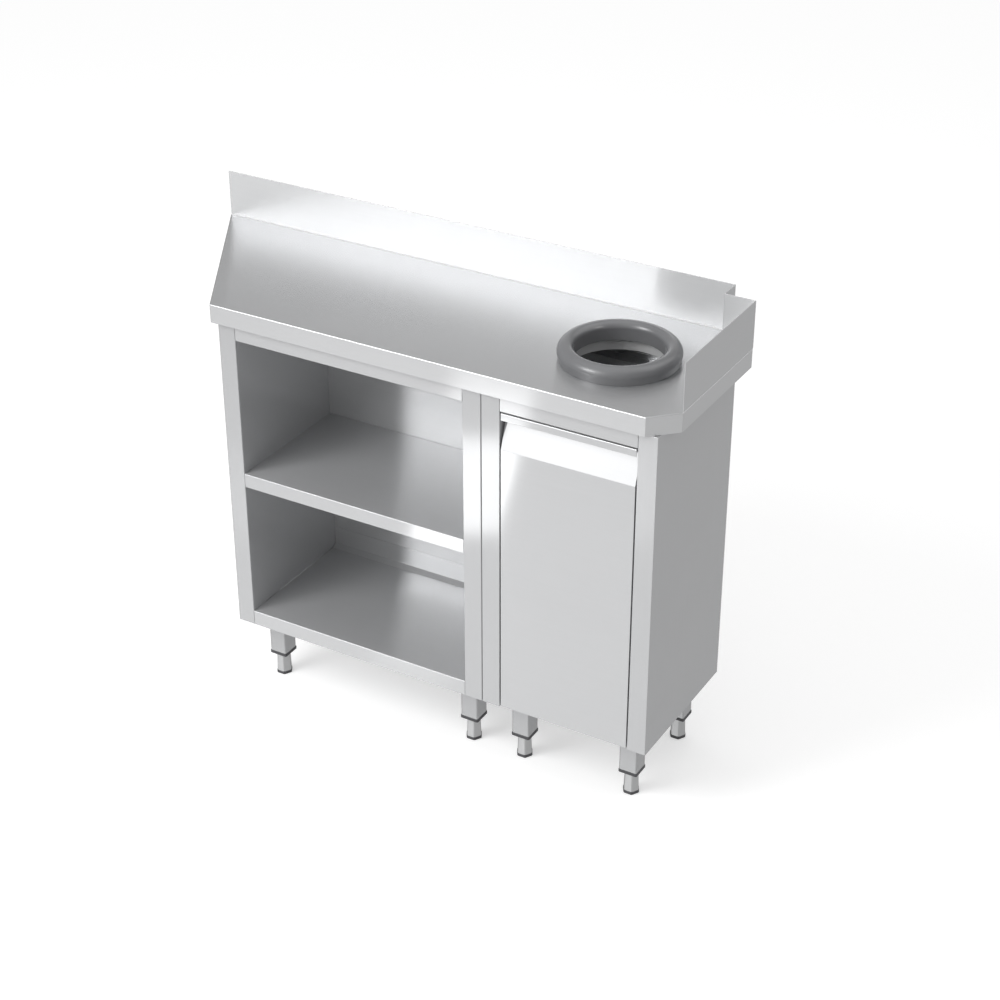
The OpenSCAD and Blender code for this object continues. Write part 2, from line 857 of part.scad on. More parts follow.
back_panel(waste_in0, waste_in1);  // waste_back_panel
top_rail(waste_in0, waste_in1, front_y, front_y);  // waste_front_rail
top_rail(waste_in0, waste_in1, rear_y - rail_d, rear_y - skin);  // waste_rear_rail
floor_tray(waste_in0, waste_in1, floor_y0);  // waste_floor
drawer_front();
drawer_front_lining();
drawer_tray();
drawer_brace(tray_x0 + skin, tray_x0 + skin);  // drawer_brace_left
drawer_brace(tray_x1 - skin - brace_t, tray_x1 - skin - brace_flange);  // drawer_brace_right
for (member = ["rail", "middle", "slide"]) {
    left_runner(member);
    right_runner(member);
}
waste_bin();
legs(shelf_legs);  // shelf_module_legs
legs(waste_legs);  // waste_module_legs
leg_inserts();
for (i = [0:len(all_legs) - 1]) {
    foot(all_legs[i]);
    foot_pad(all_legs[i]);
}
module_bolts();
stiffener_screws();
brace_rivets();
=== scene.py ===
"""Visual model of a stainless steel kitchen work table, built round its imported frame. Metres, +Z up."""
import json
import math

import bmesh
import bpy
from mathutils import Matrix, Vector, geometry

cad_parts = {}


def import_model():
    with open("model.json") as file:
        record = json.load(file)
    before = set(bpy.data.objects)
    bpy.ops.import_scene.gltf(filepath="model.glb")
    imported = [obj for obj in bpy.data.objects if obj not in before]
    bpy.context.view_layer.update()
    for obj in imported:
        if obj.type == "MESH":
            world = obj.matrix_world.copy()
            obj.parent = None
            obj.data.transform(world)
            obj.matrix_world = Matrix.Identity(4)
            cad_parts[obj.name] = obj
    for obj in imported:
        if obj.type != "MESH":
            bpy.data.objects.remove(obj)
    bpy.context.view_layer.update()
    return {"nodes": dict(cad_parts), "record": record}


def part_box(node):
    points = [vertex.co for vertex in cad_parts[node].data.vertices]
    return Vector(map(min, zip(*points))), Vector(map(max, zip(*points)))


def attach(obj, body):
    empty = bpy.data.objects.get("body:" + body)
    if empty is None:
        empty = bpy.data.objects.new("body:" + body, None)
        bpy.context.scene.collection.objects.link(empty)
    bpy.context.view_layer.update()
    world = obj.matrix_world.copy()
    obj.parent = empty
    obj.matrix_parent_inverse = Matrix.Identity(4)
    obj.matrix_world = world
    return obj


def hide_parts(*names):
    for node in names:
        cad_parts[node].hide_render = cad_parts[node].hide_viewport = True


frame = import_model()

# Sheets: their thicknesses, the radii of their bends and corners, their gaps and edges
SKIN = 0.0012
TOP_SHEET = 0.0015
BEND = 0.0004
SEAM_BEND = 0.00012
TOP_BEND = 0.0022
END_GAP = 0.0008
SPLASH_GAP = 0.0006
SEAM_GAP = 0.0003
CORNER = 0.0026
EDGE_BREAK = 0.0003
SOFT_EDGE = 0.0004
BEND_STEP = math.radians(15)
BEND_STEPS = 5
BEVEL_SEGMENTS = 2
# Faces count as folds when less of their normal than this points up or down
FOLD_NORMAL = 0.5
SHARP = math.radians(32)
# Decimals that tell two points apart, and that solids are sorted by; points nearer than MERGE are one
SAME_POINT = 7
SORT_PLACE = 3
MERGE = 1e-6

# Worktop plan: its mitred left end, its cut corner and its hole
MITRE_RUN = 0.244
CORNER_CUT = 0.050
HOLE_SEGMENTS = 128

# Shelves and drawer front
BOTTOM_LIP = 0.034
COVE_RUN = 0.012
COVE_RISE = 0.008
GRIP_H = 0.078
GRIP_D = 0.025
GRIP_LIP = 0.015
FRONT_T = 0.020
STIFFENER_FLANGE = 0.008

# Chute: the collar, and the section of the ring on it
CHUTE_R = 0.1005
COLLAR_RISE = 0.012
COLLAR_FLANGE = 0.008
RING_R = 0.0185
RING_INNER_R = 0.0135
RING_SEAT = 0.016
RING_Z = 0.015
RING_SKIRT = 0.004
RING_SOFT = 0.0006
RING_STEPS = 20
RING_SEGMENTS = 160

# Waste bin: its rim's width and height, the taper of its sides, its wall, corners and edges
BIN_RIM = 0.006
BIN_RIM_H = 0.014
BIN_TAPER = 0.012
BIN_WALL = 0.0025
BIN_CORNER = 0.034
BIN_CORNER_STEPS = 10
BIN_FOOT = 0.006
BIN_SOFT = 0.0006
BIN_LIP_RUN = 0.001
BIN_LIP_RISE = 0.0002

# Legs and inserts
LEG_WALL = 0.0015
LEG_CORNER = 0.003
LEG_CORNER_STEPS = 6
PLATE_T = 0.003
PLATE_CORNER = 0.002
INSERT_FLANGE = 0.007
INSERT_OVERHANG = 0.001
INSERT_CORNER = 0.0012
PLUG_CORNER = 0.002
PLUG_LEAD = 0.001
BORE_R = 0.00506
# An insert's flange from its lower face to its upper one, as (height off a face, off its width)
FLANGE_LOW = (0.0006, 0.0012)
FLANGE_HIGH = (0.0004, 0.0008)

# Feet: the gap over a hexagon, its widths over the flats, its stud and thread
FOOT_COUNT = 8
FOOT_SEGMENTS = 96
FOOT_GAP = 0.0002
HEX_SIDES = 6
HEX_CORNER = 0.0005
HEX_TOP = 0.027
HEX_BASE = 0.030
STUD_R = 0.005
THREAD_PITCH = 0.0015
THREAD_DEPTH = 0.0007
THREAD_SEGMENTS = 18
THREAD_STEPS = 6
THREAD_END = 0.8
# A hexagon's chamfers as (height off its face, share of the radius over its corners); UNCUT cuts nothing
UNCUT = 1.2
HEX_BOTTOM = ((0.0, 0.93), (0.0008, UNCUT))
HEX_SHOULDER = ((0.0026, UNCUT), (0.0016, 0.97), (0.0008, 0.93), (0.0, 0.86))
# A pad's edges, as (height off its face, inset)
PAD_BOTTOM = ((0.0, 0.0012), (0.0005, 0.0003), (0.0012, 0.0))
PAD_TOP = ((0.0008, 0.0), (0.0, 0.0008))
PAD_CORNER = 0.0008

# Bolts, screws and rivets: head heights, shank radii, and shares of a head's radius and height
BOLT_HEAD = 0.0055
BOLT_R = 0.004
SCREW_HEAD = 0.003
SCREW_R = 0.0025
RIVET_HEAD = 0.0014
RIVET_R = 0.0024
HEAD_SEGMENTS = 36
SHANK_SEGMENTS = 24
HEAD_STEPS = 6
HEAD_SKIRT = 0.22
FLAT_TOP = 0.3
SOCKET_R = 0.55
SOCKET_FLOOR = 0.35
DRILL_R = 0.5
DRILL_FLOOR = 0.3
# A nut's chamfers, as on a foot's hexagon
NUT_SEAT = ((0.0, 0.98), (0.0006, UNCUT))
NUT_END = ((0.0012, UNCUT), (0.0004, 0.98), (0.0, 0.9))

# Floor and camera
FLOOR_REACH = 14.0
FLOOR_TONE = 0.7
FLOOR_ROUGHNESS = 0.8
FLOOR_WHITE = 0.46
CAMERA_AT = (2.0226, -3.2204, 2.6598)
CAMERA_TILT = 60
CAMERA_TURN = 30
SENSOR = 36.0
FOCAL_LENGTH = 75.67


class Shape:
    """Vertices and faces of one piece, gathered part by part."""

    def __init__(self):
        self.verts = []
        self.faces = []

    def add(self, verts, faces):
        """Adds a part, whose faces count its own vertices from 0."""
        start = len(self.verts)
        self.verts += [tuple(v) for v in verts]
        self.faces += [tuple(start + i for i in face) for face in faces]

    def loft(self, rings, cap_first=False, cap_last=False, closed=False):
        """Joins rings of as many points each, and closes the row of rings or caps its ends."""
        count = len(rings[0])
        verts = [p for ring in rings for p in ring]
        pairs = [(i, i + 1) for i in range(len(rings) - 1)]
        if closed:
            pairs.append((len(rings) - 1, 0))
        faces = []
        for a, b in pairs:
            for i in range(count):
                j = (i + 1) % count
                faces.append((a * count + i, a * count + j, b * count + j, b * count + i))
        if cap_first:
            faces.append(tuple(reversed(range(count))))
        if cap_last:
            faces.append(tuple(range((len(rings) - 1) * count, len(rings) * count)))
        self.add(verts, faces)

    def sheet(self, path, sheet, radius, axis, start, end):
        """Folded sheet: a middle line with bends, of even thickness, extruded along an axis."""
        line = bent_line(path, radius + sheet / 2)
        left = [p + n * sheet / 2 for p, n in line]
        right = [p - n * sheet / 2 for p, n in line]
        count = len(line)
        verts = [on_axis(p, axis, at) for at in (start, end) for p in left + right]
        far = 2 * count
        faces = []
        for i in range(count - 1):
            faces.append((i, i + 1, far + i + 1, far + i))
            faces.append((count + i, far + count + i, far + count + i + 1, count + i + 1))
            faces.append((i, count + i, count + i + 1, i + 1))
            faces.append((far + i, far + i + 1, far + count + i + 1, far + count + i))
        for i in (0, count - 1):
            faces.append((i, far + i, far + count + i, count + i))
        self.add(verts, faces)

    def plate(self, low, high):
        """Flat plate between two corners."""
        along_x, along_y, along_z = ((low[k], high[k]) for k in range(3))
        corners = [(x, y, z) for z in along_z for y in along_y for x in along_x]
        self.add(corners,
            [(0, 2, 3, 1), (4, 5, 7, 6), (0, 1, 5, 4), (2, 6, 7, 3), (0, 4, 6, 2), (1, 3, 7, 5)])

    def prism(self, points, axis, start, end):
        """Flat outline extruded along an axis."""
        rings = [[on_axis(p, axis, at) for p in points] for at in (start, end)]
        self.loft(rings, cap_first=True, cap_last=True)

    def turned(self, profile, place, segments=48, closed=False, cap_first=False, cap_last=False):
        """Turned shape from (radius, height) points; place puts a point of its own space in the frame."""
        rings = [[place(radius * math.cos(a), radius * math.sin(a), height) for a in angles(segments)]
            for radius, height in profile]
        self.loft(rings, closed=closed, cap_first=cap_first, cap_last=cap_last)


def angles(count):
    """Angles evenly round a full turn."""
    return [2 * math.pi * i / count for i in range(count)]


def on_axis(point, axis, at):
    """A point of a section, put at a place along the axis that the section is extruded on."""
    u, v = point
    return {"X": (at, u, v), "Y": (u, at, v), "Z": (u, v, at)}[axis]


def bent_line(path, radius):
    """Points and left normals along a line whose corners are bends of the given radius."""
    points = [Vector(p) for p in path]
    line = []
    for i, point in enumerate(points):
        before = (point - points[i - 1]).normalized() if i else None
        after = (points[i + 1] - point).normalized() if i < len(points) - 1 else None
        if before is None or after is None:
            way = after or before
            line.append((point, Vector((-way.y, way.x))))
            continue
        turn = math.atan2(before.cross(after), before.dot(after))
        side = math.copysign(1.0, turn)
        start = point - before * radius * math.tan(abs(turn) / 2)
        centre = start + Vector((-before.y, before.x)) * side * radius
        steps = max(2, math.ceil(abs(turn) / BEND_STEP))
        for k in range(steps + 1):
            a = math.atan2(before.y, before.x) + turn * k / steps
            normal = Vector((-math.sin(a), math.cos(a)))
            line.append((centre - normal * side * radius, normal))
    return line


def outline(points, inset, radius, steps=4):
    """A closed outline moved inwards, with round corners. Points run with the inside on their left."""
    points = [Vector(p) for p in points]
    count = len(points)
    ring = []
    for i, point in enumerate(points):
        before = (point - points[i - 1]).normalized()
        after = (points[(i + 1) % count] - point).normalized()
        turn = math.atan2(before.cross(after), before.dot(after))
        side = math.copysign(1.0, turn)
        in_before = Vector((-before.y, before.x))
        in_after = Vector((-after.y, after.x))
        corner = point + (in_before + in_after) * inset / (1 + in_before.dot(in_after))
        r = max(radius - side * inset, EDGE_BREAK / 3)
        start = corner - before * r * math.tan(abs(turn) / 2)
        centre = start + in_before * side * r
        for k in range(steps + 1):
            a = math.atan2(before.y, before.x) + turn * k / steps
            ring.append(centre + Vector((math.sin(a), -math.cos(a))) * side * r)
    return ring


def rectangle(x0, y0, x1, y1):
    """Corners of a rectangle, with its inside on their left."""
    return [(x0, y0), (x1, y0), (x1, y1), (x0, y1)]


def quarter(steps, start=0.0):
    """Angles over a quarter turn."""
    return [start + math.pi / 2 * k / steps for k in range(steps + 1)]


def pan_profile(depth, sheet, bend):
    """(inset, height) along an open pan, from its outer base round its rim to its inner base."""
    hem = sheet / 4
    outer = [(bend - bend * math.sin(a), bend - bend * math.cos(a)) for a in quarter(BEND_STEPS)]
    rim = [(0, depth - hem), (hem, depth), (sheet - hem, depth), (sheet, depth - hem)]
    inner_bend = bend - sheet if bend > sheet else bend / 3
    far = sheet + inner_bend
    inner = [(far - inner_bend * math.cos(a), far - inner_bend * math.sin(a)) for a in quarter(BEND_STEPS)]
    return outer + rim + inner


def pan(shape, points, depth, sheet, bend, corner, place):
    """Pan with folded walls: its base is at height 0 of its own space, and its walls rise to the depth."""
    rings = [[place(p.x, p.y, height) for p in outline(points, inset, corner)]
        for inset, height in pan_profile(depth, sheet, bend)]
    shape.loft(rings, cap_first=True, cap_last=True)


def loose_boxes(node):
    """Boxes of the separate solids of a node, in order along Y and then X."""
    work = bmesh.new()
    work.from_mesh(frame["nodes"][node].data)
    bmesh.ops.remove_doubles(work, verts=work.verts, dist=MERGE)
    left = set(work.verts)
    boxes = []
    while left:
        seed = left.pop()
        group = [seed]
        front = [seed]
        while front:
            for edge in front.pop().link_edges:
                for vert in edge.verts:
                    if vert in left:
                        left.remove(vert)
                        group.append(vert)
                        front.append(vert)
        low = Vector([min(v.co[k] for v in group) for k in range(3)])
        high = Vector([max(v.co[k] for v in group) for k in range(3)])
        boxes.append((low, high))
    work.free()
    return sorted(boxes, key=lambda box: [round(box[0][k], SORT_PLACE) for k in (1, 0, 2)])


def body_of(node):
    """Name of the body that a node belongs to."""
    for name, nodes in frame["record"]["behaviour"]["bodies"].items():
        if node in nodes:
            return name
    raise ValueError(node)


def piece(name, shape, material, nodes, edge=EDGE_BREAK):
    """Turns a shape into an object that stands for the given nodes and rides on their body."""
    mesh = bpy.data.meshes.new(name)
    mesh.from_pydata(shape.verts, [], shape.faces)
    work = bmesh.new()
    work.from_mesh(mesh)
    bmesh.ops.recalc_face_normals(work, faces=work.faces)
    work.to_mesh(mesh)
    work.free()
    mesh.polygons.foreach_set("use_smooth", [True] * len(mesh.polygons))
    mesh.set_sharp_from_angle(angle=SHARP)
    mesh.materials.append(material)
    made = bpy.data.objects.new(name, mesh)
    bpy.context.scene.collection.objects.link(made)
    if edge:
        bevel = made.modifiers.new("edge", "BEVEL")
        bevel.width = edge
        bevel.segments = BEVEL_SEGMENTS
        bevel.limit_method = "ANGLE"
        bevel.angle_limit = SHARP
    normals = made.modifiers.new("normals", "WEIGHTED_NORMAL")
    normals.keep_sharp = True
    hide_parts(*nodes)
    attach(made, body_of(nodes[0]))
    return made


def split_painted_light_by_facing(made, material):
    """Gives the upright faces of a sheet their own material, with its own gloss; the two tones are painted
    light and shade, one sheet toned apart by which way its faces look.
    """
    made.data.materials.append(material)
    for face in made.data.polygons:
        face.material_index = int(abs(face.normal.z) < FOLD_NORMAL)


class Nodes:
    """Short way to build a node tree."""

    def __init__(self, tree):
        self.tree = tree

    def add(self, kind, inputs=(), **settings):
        """A new node, with each given socket linked or set."""
        made = self.tree.nodes.new(kind)
        for key, value in settings.items():
            setattr(made, key, value)
        for key, value in dict(inputs).items():
            if isinstance(value, bpy.types.NodeSocket):
                self.tree.links.new(value, made.inputs[key])
            else:
                made.inputs[key].default_value = value
        return made

    def math(self, operation, a, b=0.0):
        """A sum, product or other step of two values."""
        return self.add("ShaderNodeMath", {0: a, 1: b}, operation=operation).outputs[0]

    def smooth(self, value, low, high, to_low, to_high):
        """A value carried from one range to another, with a soft start and end."""
        made = self.add("ShaderNodeMapRange", {0: value, 1: low, 2: high, 3: to_low, 4: to_high})
        made.interpolation_type = "SMOOTHSTEP"
        return made.outputs[0]

    def linear(self, value, low, high, to_low, to_high):
        """A value carried from one range to another."""
        made = self.add("ShaderNodeMapRange", {0: value, 1: low, 2: high, 3: to_low, 4: to_high})
        return made.outputs[0]

    def noise(self, place, scale, detail, roughness=0.5):
        """Noise from 0 to 1, mostly near a half."""
        made = self.add("ShaderNodeTexNoise",
            {"Vector": place, "Scale": scale, "Detail": detail, "Roughness": roughness})
        return made.outputs["Fac"]

    def ramp(self, value, ends, dark, light):
        """Colour that goes from dark to light while the value goes from end to end."""
        made = self.add("ShaderNodeValToRGB", {"Fac": value})
        for element, at, tone in zip(made.color_ramp.elements, ends, (dark, light)):
            element.position = at
            element.color = (*tone, 1.0)
        return made.outputs[0]

    def dot(self, vector, axis):
        """Dot product of a vector and a fixed axis."""
        made = self.add("ShaderNodeVectorMath", {0: vector, 1: axis}, operation="DOT_PRODUCT")
        return made.outputs["Value"]


def new_material(name):
    """A material with one shader, whose sockets are still at their defaults."""
    material = bpy.data.materials.new(name)
    material.use_nodes = True
    tree = material.node_tree
    tree.nodes.clear()
    nodes = Nodes(tree)
    shader = nodes.add("ShaderNodeBsdfPrincipled")
    out = nodes.add("ShaderNodeOutputMaterial")
    tree.links.new(shader.outputs[0], out.inputs[0])
    return material, nodes, shader


# Directions of the brushing, a little off each axis so that no face has one as its normal
GRAINS = {"X": (1.0, 0.021, 0.017), "Y": (0.019, 1.0, 0.023), "Z": (0.023, 0.017, 1.0)}
# Brush lines per metre across the brushing and along it, and their detail
BRUSH_ACROSS = 700.0
BRUSH_ALONG = 6.0
BRUSH_DETAIL = (2.0, 0.55)
BRUSH_DEPTH = 0.00002
# Clouds from handling, as (scale, detail, roughness), and their share in the tone
CLOUDS = (5.5, 4.0, 0.6)
CLOUD_SHARE = 0.5
# Where the noise meets the ends of a tone or gloss range, and how far these ranges go
TONE_ENDS = (0.25, 0.75)
GLOSS_ENDS = (0.3, 0.7)
STEEL_TONES = (0.975, 1.02)
STEEL_GLOSS = (0.95, 1.06)
MOULDED_GLOSS = (0.88, 1.12)
MOULDED_CLOUDS = (18.0, 2.0)
PEBBLE_DETAIL = 2.0
PEBBLE_DEPTH = 0.0002


def steel(name, tone, grain, roughness=0.085, directional=1.0, metal=0.62, relief=0.04):
    """Brushed steel: fine lines along the grain, slow clouds from handling, and a stretched gloss."""
    material, nodes, shader = new_material(name)
    place = nodes.add("ShaderNodeTexCoord").outputs["Object"]
    scale = tuple(BRUSH_ALONG if axis == grain else BRUSH_ACROSS for axis in "XYZ")
    stretched = nodes.add("ShaderNodeMapping", {"Vector": place, "Scale": scale}).outputs[0]
    fine = nodes.noise(stretched, 1.0, *BRUSH_DETAIL)
    cloud = nodes.noise(place, *CLOUDS)
    mixed = nodes.add("ShaderNodeMix", {0: CLOUD_SHARE, 2: fine, 3: cloud}).outputs[0]
    dark, light = ([min(c * share, 1.0) for c in tone] for share in STEEL_TONES)
    rough, rougher = (roughness * share for share in STEEL_GLOSS)
    bump = nodes.add("ShaderNodeBump", {"Height": fine, "Strength": relief, "Distance": BRUSH_DEPTH})
    normal = nodes.add("ShaderNodeNewGeometry").outputs["Normal"]
    across = nodes.add("ShaderNodeVectorMath", {0: normal, 1: GRAINS[grain]}, operation="CROSS_PRODUCT")
    link = nodes.tree.links.new
    link(nodes.ramp(mixed, TONE_ENDS, dark, light), shader.inputs["Base Color"])
    link(nodes.linear(mixed, *GLOSS_ENDS, rough, rougher), shader.inputs["Roughness"])
    link(bump.outputs[0], shader.inputs["Normal"])
    link(across.outputs[0], shader.inputs["Tangent"])
    shader.inputs["Metallic"].default_value = metal
    shader.inputs["Anisotropic"].default_value = directional
    return material


def moulded(name, dark, light, roughness, grain_scale, bump_strength, level=0.5):
    """Moulded rubber or plastic with a fine pebble, slow tone changes and uneven gloss."""
    material, nodes, shader = new_material(name)
    place = nodes.add("ShaderNodeTexCoord").outputs["Object"]
    pebble = nodes.noise(place, grain_scale, PEBBLE_DETAIL)
    cloud = nodes.noise(place, *MOULDED_CLOUDS)
    rough, rougher = (roughness * share for share in MOULDED_GLOSS)
    bump = nodes.add("ShaderNodeBump",
        {"Height": pebble, "Strength": bump_strength, "Distance": PEBBLE_DEPTH})
    link = nodes.tree.links.new
    link(nodes.ramp(cloud, GLOSS_ENDS, dark, light), shader.inputs["Base Color"])
    link(nodes.linear(cloud, *GLOSS_ENDS, rough, rougher), shader.inputs["Roughness"])
    link(bump.outputs[0], shader.inputs["Normal"])
    shader.inputs["Specular IOR Level"].default_value = level
    return material


# Tones are linear, and a steel's letter is the direction that it is brushed in
SHEET_TONE = (0.655, 0.660, 0.668)
FRAME_TONE = (0.56, 0.565, 0.575)

top_steel = steel("worktop_brushed_x", (0.65, 0.655, 0.663), "X", roughness=0.25, metal=0.92, relief=0.008)
# The worktop's folds: the same sheet as its top, toned lighter, which paints light on them
fold_painted_light_x = steel("worktop_edge_painted_light_x", (0.70, 0.705, 0.713), "X")
upstand_x = steel("upstand_brushed_x", SHEET_TONE, "X", roughness=0.25, metal=0.45)
upstand_y = steel("side_upstand_brushed_y", SHEET_TONE, "Y", roughness=0.14)
sheet_x = steel("sheet_brushed_x", SHEET_TONE, "X")
back_x = steel("back_brushed_x", SHEET_TONE, "X", roughness=0.22)
# Shelf decks: the same sheet as their lips, toned darker, which paints the shade inside the modules
shelf_painted_shade_x = steel("shelf_deck_painted_shade_x", (0.57, 0.575, 0.583), "X", roughness=0.25, relief=0.015)
wall_z = steel("wall_brushed_z", (0.615, 0.62, 0.628), "Z", roughness=0.1)
collar_z = steel("collar_turned", (0.75, 0.755, 0.76), "Z", roughness=0.2, directional=0.4, metal=0.4)
drawer_x = steel("drawer_brushed_x", SHEET_TONE, "X")
frame_x = steel("stiffener_mill_x", FRAME_TONE, "X", roughness=0.3, directional=0.6)
runner_y = steel("runner_zinc_y", FRAME_TONE, "Y", roughness=0.24, directional=0.5)
leg_z = steel("leg_brushed_z", (0.575, 0.58, 0.588), "Z", roughness=0.16)
foot_z = steel("foot_turned_z", (0.66, 0.665, 0.67), "Z", roughness=0.3, directional=0.3)
bolt_x = steel("bolt_plain_x", FRAME_TONE, "X", roughness=0.22, directional=0.2)
ring_rubber = moulded("ring_rubber", (0.152, 0.154, 0.16), (0.165, 0.167, 0.173),
    roughness=0.24, grain_scale=900.0, bump_strength=0.05, level=0.9)
foot_plastic = moulded("foot_plastic", (0.075, 0.075, 0.08), (0.09, 0.09, 0.095),
    roughness=0.5, grain_scale=1400.0, bump_strength=0.25)
bin_plastic = moulded("bin_plastic", (0.78, 0.79, 0.80), (0.81, 0.82, 0.83),
    roughness=0.42, grain_scale=1100.0, bump_strength=0.2)


def worktop():
    """Folded worktop: its outline lofted down its edges, and its two faces cut round the chute hole."""
    low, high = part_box("worktop")
    notch_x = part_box("back_upstand")[1].x
    notch_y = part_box("side_upstand")[1].y
    points = [
        (low.x + MITRE_RUN, low.y), (high.x - CORNER_CUT, low.y), (high.x, low.y + CORNER_CUT),
        (high.x, notch_y), (notch_x, notch_y), (notch_x, high.y), (low.x, high.y),
    ]
    ring_low, ring_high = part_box("chute_ring")
    centre = (ring_low + ring_high) / 2
    hem = TOP_SHEET / 4
    bend_z = high.z - TOP_BEND
    under = high.z - TOP_SHEET
    outer = [(hem, low.z), (0.0, low.z + hem)]
    outer += [(TOP_BEND - TOP_BEND * math.cos(a), bend_z + TOP_BEND * math.sin(a))
        for a in quarter(BEND_STEPS)]
    inner = [(TOP_SHEET + SOFT_EDGE, under), (TOP_SHEET, under - SOFT_EDGE),
        (TOP_SHEET, low.z + hem), (TOP_SHEET - hem, low.z)]
    shape = Shape()
    shape.loft([[(p.x, p.y, z) for p in outline(points, inset, CORNER)] for inset, z in inner + outer])
    hole_r = CHUTE_R + TOP_SHEET
    for inset, z in (inner[0], outer[-1]):
        edge = [Vector((p.x, p.y, z)) for p in outline(points, inset, CORNER)]
        hole = [Vector((centre.x + hole_r * math.cos(a), centre.y + hole_r * math.sin(a), z))
            for a in angles(HOLE_SEGMENTS)]
        shape.add(edge + hole, geometry.tessellate_polygon([edge, hole]))
    shape.turned([(hole_r, under), (hole_r, high.z)],
        lambda x, y, z: (centre.x + x, centre.y + y, z), HOLE_SEGMENTS)
    weld_seams(shape)
    # The folds take a lighter tone than the top: painted light
    split_painted_light_by_facing(piece("worktop_sheet", shape, top_steel, ["worktop"], edge=0), fold_painted_light_x)


def weld_seams(shape):
    """Joins the points that the worktop's faces share."""
    seen = {}
    index = []
    verts = []
    for vert in shape.verts:
        key = tuple(round(c, SAME_POINT) for c in vert)
        if key not in seen:
            seen[key] = len(verts)
            verts.append(vert)
        index.append(seen[key])
    shape.verts = verts
    shape.faces = [face for face in (tuple(index[i] for i in face) for face in shape.faces)
        if len(set(face)) == len(face)]


def upstands():
    """Plain sheets on the worktop's back and right edges, and an angled one round its notch."""
    low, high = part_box("back_upstand")
    shape = Shape()
    shape.plate((low.x, low.y, low.z + SPLASH_GAP), high)
    piece("back_upstand_sheet", shape, upstand_x, ["back_upstand"])
    low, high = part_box("side_upstand")
    shape = Shape()
    shape.plate(low, high)
    piece("side_upstand_sheet", shape, upstand_y, ["side_upstand"])
    low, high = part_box("notch_upstand")
    half = TOP_SHEET / 2
    shape = Shape()
    shape.sheet([(low.x + half, high.y), (low.x + half, low.y + half), (high.x, low.y + half)],
        TOP_SHEET, BEND, "Z", low.z, high.z)
    piece("notch_upstand_sheet", shape, upstand_x, ["notch_upstand"])


def stiffeners():
    """Hat sections under the worktop."""
    half = TOP_SHEET / 2
    for node in ("front_stiffener", "rear_stiffener"):
        low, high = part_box(node)
        web0 = low.y + STIFFENER_FLANGE + half
        web1 = high.y - STIFFENER_FLANGE - half
        bottom, top = low.z + half, high.z - half
        shape = Shape()
        shape.sheet([(low.y, bottom), (web0, bottom), (web0, top),
            (web1, top), (web1, bottom), (high.y, bottom)], TOP_SHEET, BEND, "X", low.x, high.x)
        piece(node + "_hat", shape, frame_x, [node])


def chute():
    """Rubber ring and steel collar, turned from their sections."""
    ring_low, ring_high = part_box("chute_ring")
    centre = (ring_low + ring_high) / 2
    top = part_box("worktop")[1].z

    def place(x, y, z):
        return (centre.x + x, centre.y + y, top + z)

    outer = CHUTE_R + TOP_SHEET
    middle = CHUTE_R + TOP_SHEET / 2
    over_flange = outer + COLLAR_FLANGE + SKIN / 2
    soft = RING_SOFT
    wall = middle - RING_INNER_R
    shoulder = RING_Z + RING_R - RING_INNER_R
    seat = middle + RING_SEAT
    profile = [(outer, SKIN), (over_flange, SKIN), (over_flange, 0.0), (seat - soft, 0.0),
        (seat + (RING_R - RING_SEAT) * soft / RING_Z, soft)]
    profile += [(middle + RING_R * math.cos(a), RING_Z + RING_R * math.sin(a))
        for a in quarter(RING_STEPS)]
    profile += [(middle + RING_INNER_R * math.cos(a), shoulder + RING_INNER_R * math.sin(a))
        for a in quarter(RING_STEPS, math.pi / 2)[1:]]
    profile += [(wall, shoulder / 2), (wall, soft - RING_SKIRT), (wall + soft, -RING_SKIRT),
        (CHUTE_R - soft, -RING_SKIRT), (CHUTE_R, soft - RING_SKIRT), (CHUTE_R, COLLAR_RISE),
        (outer, COLLAR_RISE)]
    shape = Shape()
    shape.turned(profile, place, RING_SEGMENTS, closed=True)
    piece("chute_ring_rubber", shape, ring_rubber, ["chute_ring"], edge=0)

    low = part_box("chute_collar")[0].z - top
    hem = TOP_SHEET / 3
    profile = [(CHUTE_R + hem, low), (outer - hem, low), (outer, low + hem), (outer, -SOFT_EDGE),
        (outer + SOFT_EDGE, 0.0), (outer + COLLAR_FLANGE, 0.0), (outer + COLLAR_FLANGE, SKIN),
        (outer + SOFT_EDGE, SKIN), (outer, SKIN + SOFT_EDGE), (outer, COLLAR_RISE - hem),
        (outer - hem, COLLAR_RISE), (CHUTE_R + hem, COLLAR_RISE), (CHUTE_R, COLLAR_RISE - hem),
        (CHUTE_R, low + hem)]
    shape = Shape()
    shape.turned(profile, place, HOLE_SEGMENTS, closed=True)
    piece("chute_collar_steel", shape, collar_z, ["chute_collar"], edge=0)


def side_walls():
    """Double walls of the modules: an outer sheet with lids between its folds, and its lining."""
    half = SKIN / 2
    for node, face in (("shelf_left_wall", 1), ("shelf_right_wall", -1), ("waste_left_wall", 1),
            ("waste_right_wall", -1)):
        low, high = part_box(node)
        outer = low.x + half if face > 0 else high.x - half
        open_x = high.x if face > 0 else low.x
        front, rear = low.y + half, high.y - half
        shape = Shape()
        shape.sheet([(open_x, front), (outer, front), (outer, rear), (open_x, rear)],
            SKIN, SEAM_BEND, "Z", low.z, high.z)
        x0, x1 = (low.x + SKIN, high.x) if face > 0 else (low.x, high.x - SKIN)
        for z in (low.z + SEAM_GAP, high.z - SKIN - SEAM_GAP):
            shape.plate((x0, low.y + SKIN, z), (x1, high.y - SKIN, z + SKIN))
        piece(node + "_sheet", shape, wall_z, [node])

        node += "_lining"
        low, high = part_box(node)
        inner = high.x - half if face > 0 else low.x + half
        flange = low.x if face > 0 else high.x
        front, rear = low.y + half, high.y - half
        shape = Shape()
        shape.sheet([(flange, front), (inner, front), (inner, rear), (flange, rear)],
            SKIN, BEND / 2, "Z", low.z, high.z)
        piece(node + "_sheet", shape, wall_z, [node])


